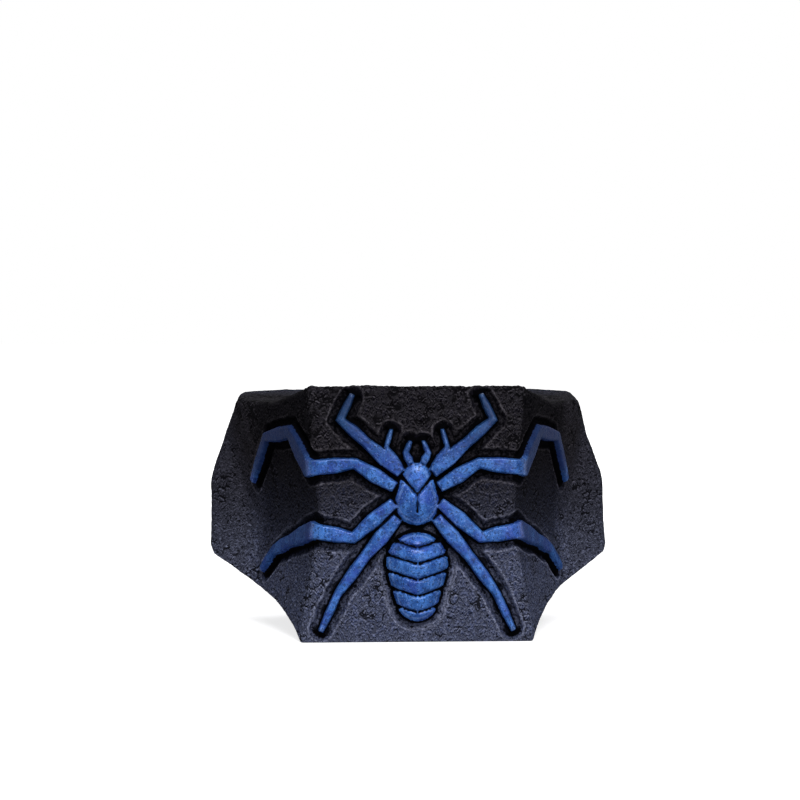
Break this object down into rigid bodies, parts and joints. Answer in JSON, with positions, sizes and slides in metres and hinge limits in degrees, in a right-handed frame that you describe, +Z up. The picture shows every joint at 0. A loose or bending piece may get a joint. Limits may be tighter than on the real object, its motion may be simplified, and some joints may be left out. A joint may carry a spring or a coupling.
{
  "type": "game controller stand",
  "caption": "One-piece cast rock-textured stand with a dished seat, flared wings and a raised spider relief that wraps over its front edges.",
  "frame": {"origin": "bottom of the foot, at the middle of the stand's width and depth", "axes": "+X across the stand, its longest extent; the carved front faces -Y; +Z up"},
  "size_m": [0.094, 0.0538, 0.0571],
  "materials": {
    "painted_cast_resin": "matte charcoal paint, dry-brushed grey, with satin pearl-blue paint on the raised relief"
  },
  "bodies": {
    "root": {"stand": "painted_cast_resin"}
  },
  "joints": []
}
